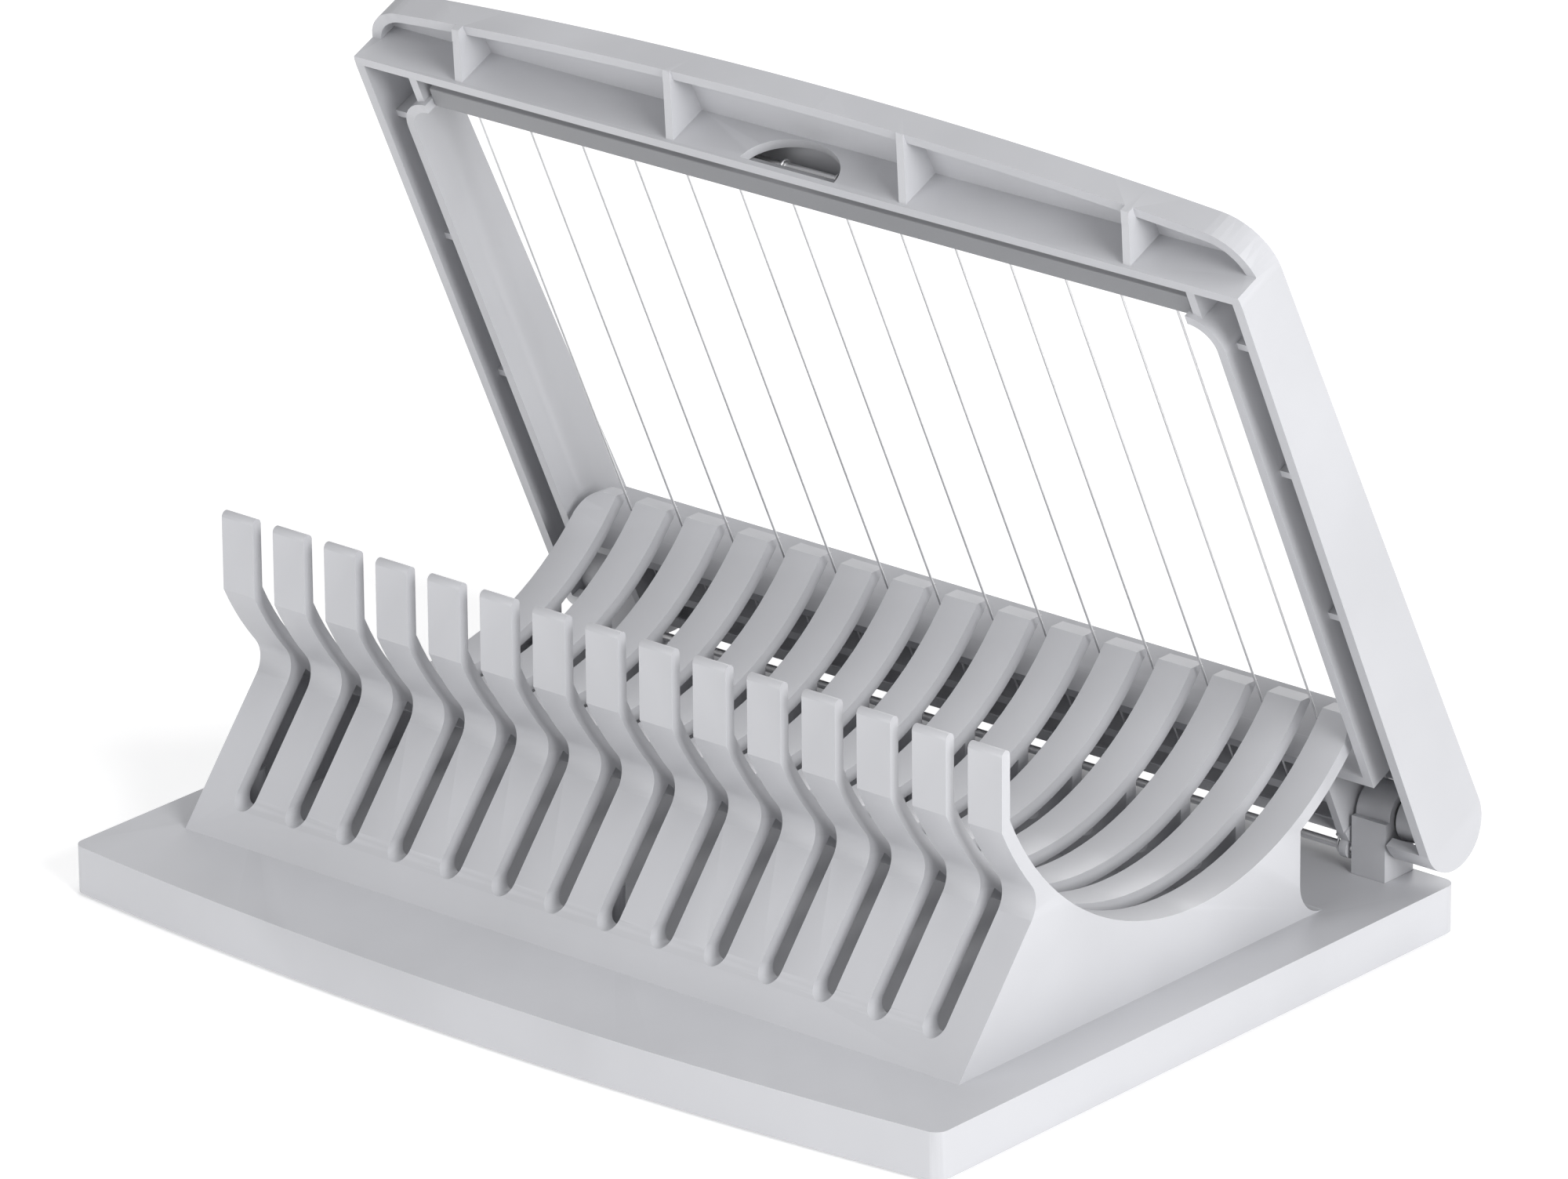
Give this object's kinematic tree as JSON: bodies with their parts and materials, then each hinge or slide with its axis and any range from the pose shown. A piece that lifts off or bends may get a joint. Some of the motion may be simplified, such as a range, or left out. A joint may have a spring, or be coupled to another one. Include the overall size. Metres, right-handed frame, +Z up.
{
  "type": "long wire slicer",
  "caption": "Pale grey plastic long wire slicer: a slotted trough on a flat base and a hinged lid strung with steel wires, standing open",
  "frame": {"origin": "middle of the footprint, on the plane the rubber feet stand on", "axes": "+X along the hinge line to the right as the user faces the slicer, +Y away from the user towards the hinge, +Z up"},
  "size_m": [0.1976, 0.1502, 0.149],
  "materials": {
    "shell_plastic": "satin moulded plastic",
    "inner_plastic": "matte moulded plastic",
    "steel_wire": "drawn stainless wire",
    "steel_pin": "turned steel",
    "foot_rubber": "soft rubber"
  },
  "bodies": {
    "stand": {"base_plate": "shell_plastic", "cradle": "shell_plastic", "cradle_screws": "steel_pin", "bracket_screws": "steel_pin", "hinge_bracket_left": "shell_plastic", "hinge_bracket_right": "shell_plastic", "hinge_pin_left": "steel_pin", "hinge_pin_right": "steel_pin", "hinge_washer_left": "foot_rubber", "hinge_washer_right": "foot_rubber", "foot_front_left": "foot_rubber", "foot_front_right": "foot_rubber", "foot_rear_left": "foot_rubber", "foot_rear_right": "foot_rubber"},
    "lid": {"lid_shell": "shell_plastic", "wire_cover": "inner_plastic", "front_wire_rod": "steel_wire", "rear_wire_rod": "steel_wire", "wire_01": "steel_wire", "wire_02": "steel_wire", "wire_03": "steel_wire", "wire_04": "steel_wire", "wire_05": "steel_wire", "wire_06": "steel_wire", "wire_07": "steel_wire", "wire_08": "steel_wire", "wire_09": "steel_wire", "wire_10": "steel_wire", "wire_11": "steel_wire", "wire_12": "steel_wire", "wire_13": "steel_wire", "wire_14": "steel_wire"}
  },
  "joints": [
    {"name": "lid_hinge", "type": "hinge", "parent": "stand", "child": "lid", "pos_m": [0, 0.0673, 0.0201], "axis": [-1, 0, 0], "range_deg": [-65.7, 25]}
  ]
}
